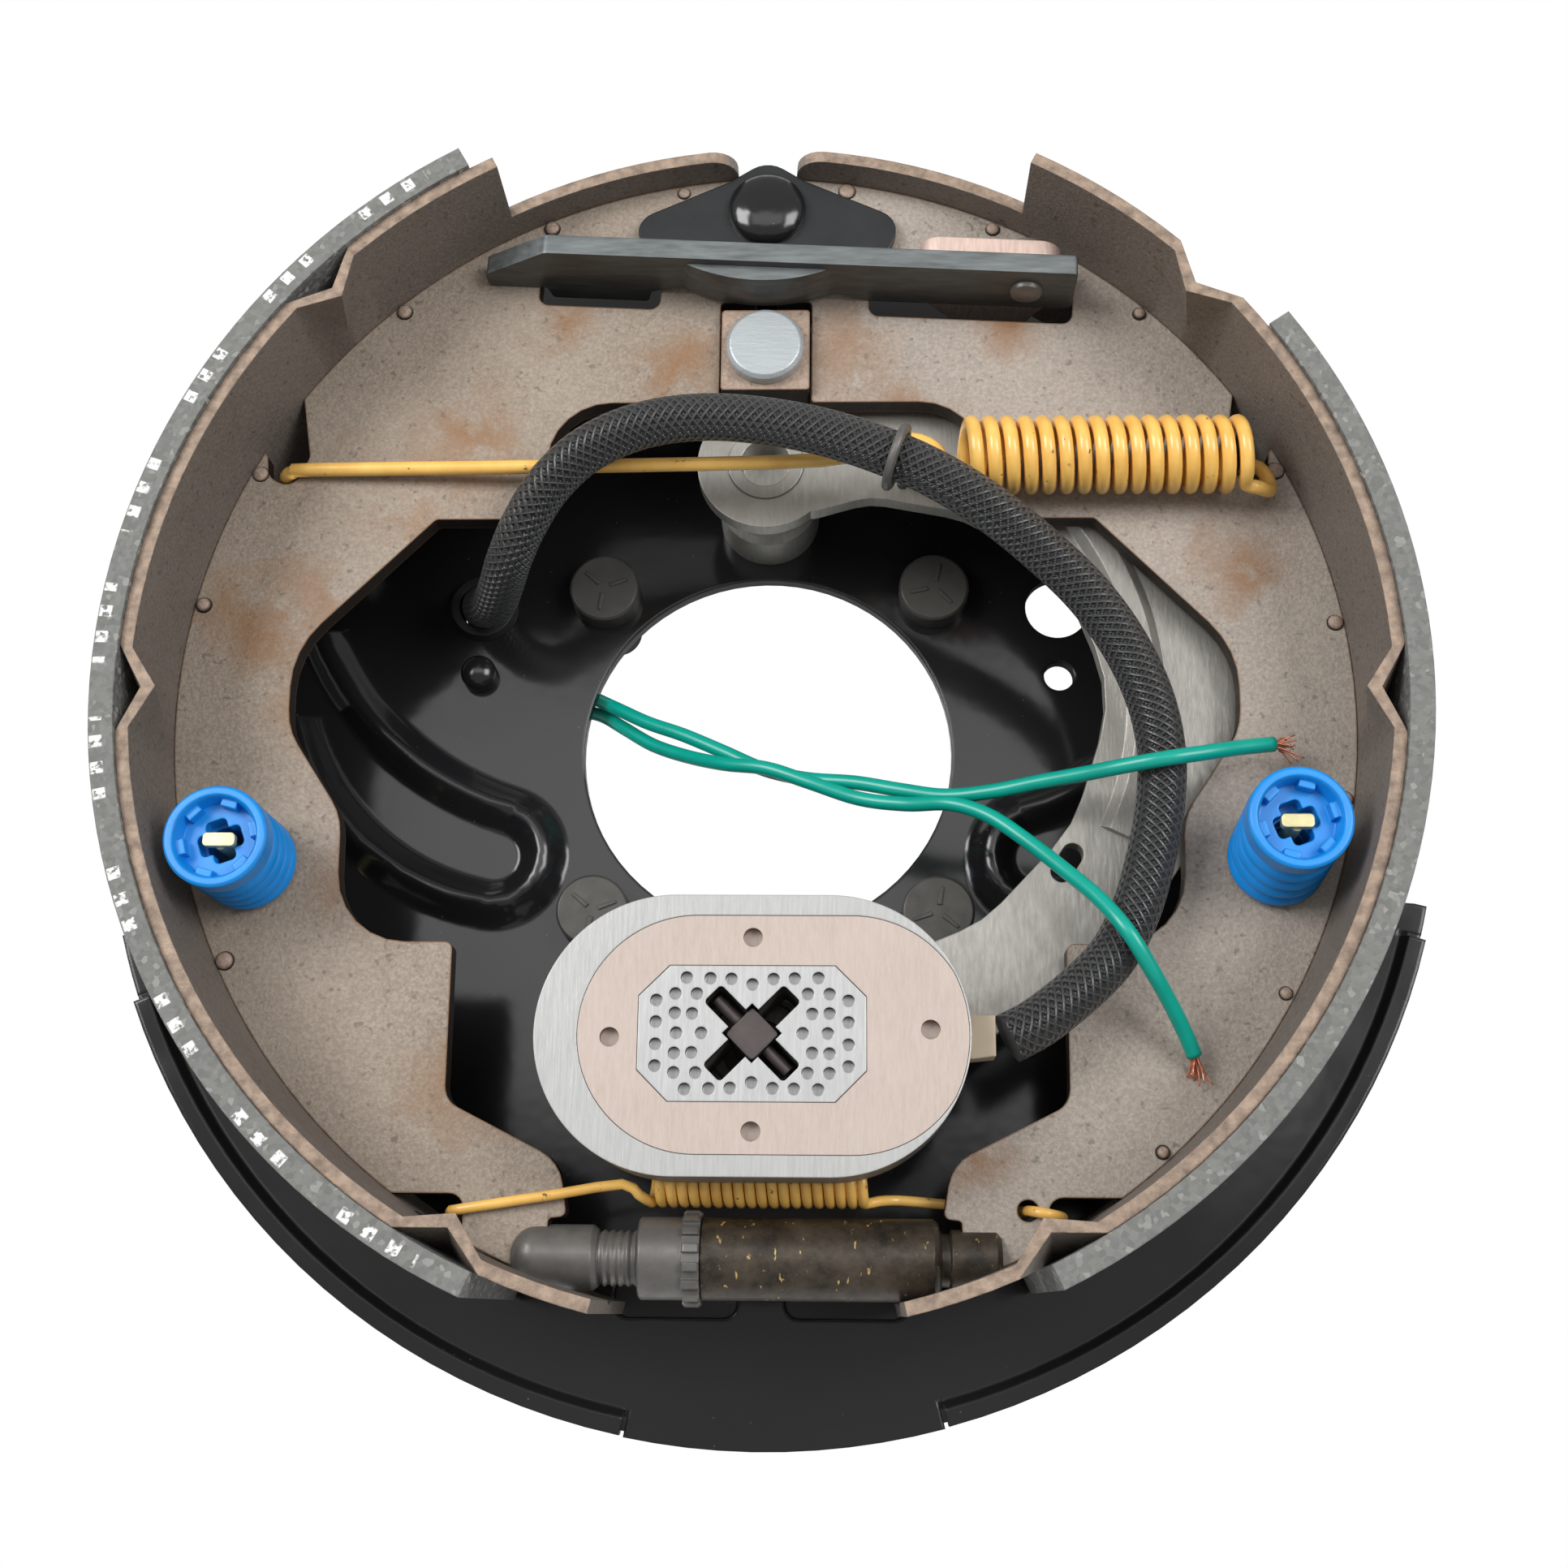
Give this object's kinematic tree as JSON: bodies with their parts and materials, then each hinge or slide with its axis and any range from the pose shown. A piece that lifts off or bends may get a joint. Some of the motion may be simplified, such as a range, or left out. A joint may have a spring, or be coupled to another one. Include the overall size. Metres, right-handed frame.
{
  "type": "electric trailer brake assembly",
  "caption": "Electric drum brake on a stamped backing plate, with shoes, springs, adjuster, magnet on a lever arm, parking lever and leads.",
  "frame": {"origin": "centre of the hub hole in the backing plate's rear face", "axes": "+Z along the wheel's axis towards the drum, +Y towards the anchor post, +X towards the primary shoe"},
  "size_m": [0.278, 0.2833, 0.0872],
  "materials": {
    "gloss_black": "gloss",
    "satin_black": "satin",
    "dark_steel": "satin",
    "bare_steel": "brushed",
    "brown_steel": "matte",
    "lining": "matte",
    "brown_tube": "satin",
    "ochre_paint": "gloss",
    "pale_zinc": "satin",
    "bright_zinc": "brushed",
    "blue_plastic": "gloss",
    "black_rubber": "satin",
    "braid": "matte",
    "green_cable": "gloss",
    "bare_copper": "satin",
    "friction_face": "matte",
    "paper_tape": "matte",
    "pink_steel": "satin"
  },
  "bodies": {
    "plate": {"backing_plate": "gloss_black", "mounting_studs": "dark_steel", "slot_plugs": "black_rubber", "anchor_post": "gloss_black", "guide_plate": "satin_black", "pivot_post": "bare_steel", "stop_pin": "gloss_black", "conduit_grommet": "black_rubber", "conduit": "braid", "lead_upper": "green_cable", "lead_lower": "green_cable", "lead_ends": "bare_copper", "adjuster_sleeve": "brown_tube", "left_hold_pin": "pale_zinc", "right_hold_pin": "pale_zinc", "left_retainer": "blue_plastic", "right_retainer": "blue_plastic", "upper_spring": "ochre_paint", "lower_spring": "ochre_paint", "park_strut": "satin_black", "park_pin": "bare_steel"},
    "primary_shoe": {"primary_web": "brown_steel", "primary_table": "brown_steel", "primary_lining": "lining"},
    "secondary_shoe": {"secondary_web": "brown_steel", "secondary_table": "brown_steel", "secondary_lining": "lining"},
    "wheel": {"star_wheel": "dark_steel"},
    "screw": {"adjuster_screw": "dark_steel"},
    "arm": {"lever_arm": "bare_steel", "cam_block": "brown_steel", "cam_rivet": "bright_zinc", "magnet_post": "dark_steel", "magnet_clip": "bright_zinc", "conduit_clip": "bare_steel"},
    "magnet": {"magnet_case": "bright_zinc", "magnet_coil": "bare_copper", "magnet_face": "friction_face", "pole_plate": "bright_zinc", "lead_tape": "paper_tape", "magnet_spring": "bright_zinc"},
    "parking_lever": {"park_lever": "pink_steel"}
  },
  "joints": [
    {"name": "lever_swing", "type": "hinge", "parent": "plate", "child": "arm", "pos_m": [0, 0.055, 0.03], "axis": [0, 0, -1], "range_deg": [0, 7], "deforming": ["conduit", "upper_spring", "lower_spring"]},
    {"name": "primary_shoe_pivot", "type": "hinge", "parent": "plate", "child": "primary_shoe", "pos_m": [0.0384, -0.1084, 0.03675], "axis": [0, 0, -1], "range_deg": [0, 1.05], "stiffness_Nm_per_rad": 50},
    {"name": "magnet_slide", "type": "slide", "parent": "arm", "child": "magnet", "axis": [0, 0, 1], "range_m": [-0.0025, 0], "stiffness_N_per_m": 800, "springref_m": 0.004, "deforming": ["magnet_spring"]},
    {"name": "adjuster_slide", "type": "slide", "parent": "plate", "child": "screw", "axis": [-1, 0, 0], "range_m": [0, 0.003]},
    {"name": "star_wheel_spin", "type": "hinge", "parent": "plate", "child": "wheel", "pos_m": [0, -0.1084, 0.03675], "axis": [1, 0, 0], "range_deg": [0, 724]},
    {"name": "secondary_shoe_pivot", "type": "hinge", "parent": "plate", "child": "secondary_shoe", "pos_m": [0, 0.11, 0.03675], "axis": [0, 0, -1], "range_deg": [0, 0.8]},
    {"name": "parking_lever_swing", "type": "hinge", "parent": "plate", "child": "parking_lever", "pos_m": [0.05453, 0.08974, 0.046], "axis": [0.0523, 0.9986, 0], "range_deg": [0, 12]}
  ],
  "couplings": [
    {"joint": "primary_shoe_pivot", "follows": "lever_swing", "ratio": 0.143},
    {"joint": "star_wheel_spin", "follows": "adjuster_slide", "rad_per_m": 4188.8},
    {"joint": "secondary_shoe_pivot", "follows": "adjuster_slide", "rad_per_m": 4.5788}
  ]
}
